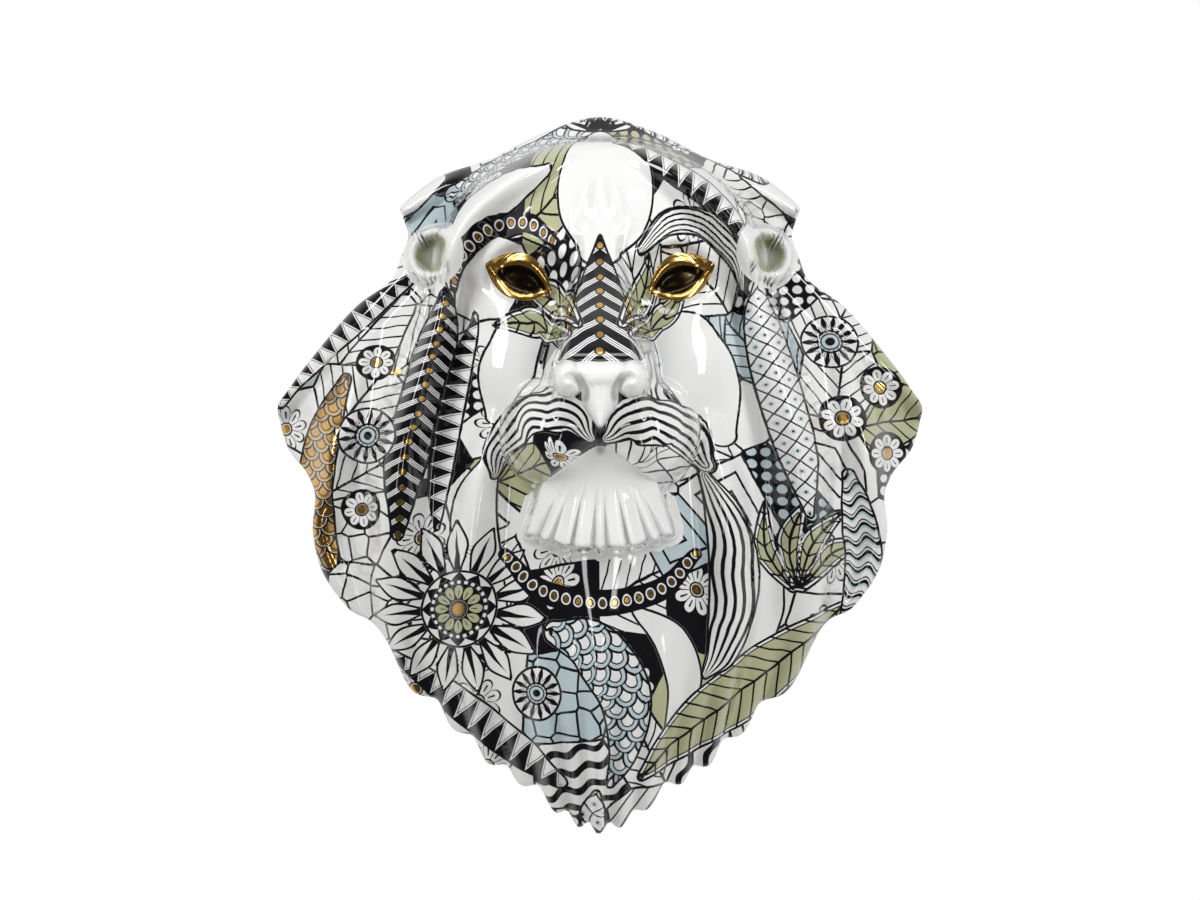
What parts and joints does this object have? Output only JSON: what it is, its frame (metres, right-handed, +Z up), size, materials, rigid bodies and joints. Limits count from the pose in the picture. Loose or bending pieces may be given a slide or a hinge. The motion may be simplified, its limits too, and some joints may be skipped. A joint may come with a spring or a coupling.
{
  "type": "lion head wall mask",
  "caption": "Hollow glazed porcelain lion head mask with a pointed mane, open back, and a flat hanging web with a keyhole slot.",
  "frame": {"origin": "on the back face of the hanging web, on the mask's centre line, where the mask lies against the wall", "axes": "+Z up towards the crown, +Y into the wall, +X to the right of someone facing the mask"},
  "size_m": [0.3742, 0.2104, 0.4164],
  "materials": {
    "glazed_porcelain": "glossy white glaze with painted line patterns and gold lustre"
  },
  "bodies": {
    "root": {"lion_mask": "glazed_porcelain"}
  },
  "joints": []
}
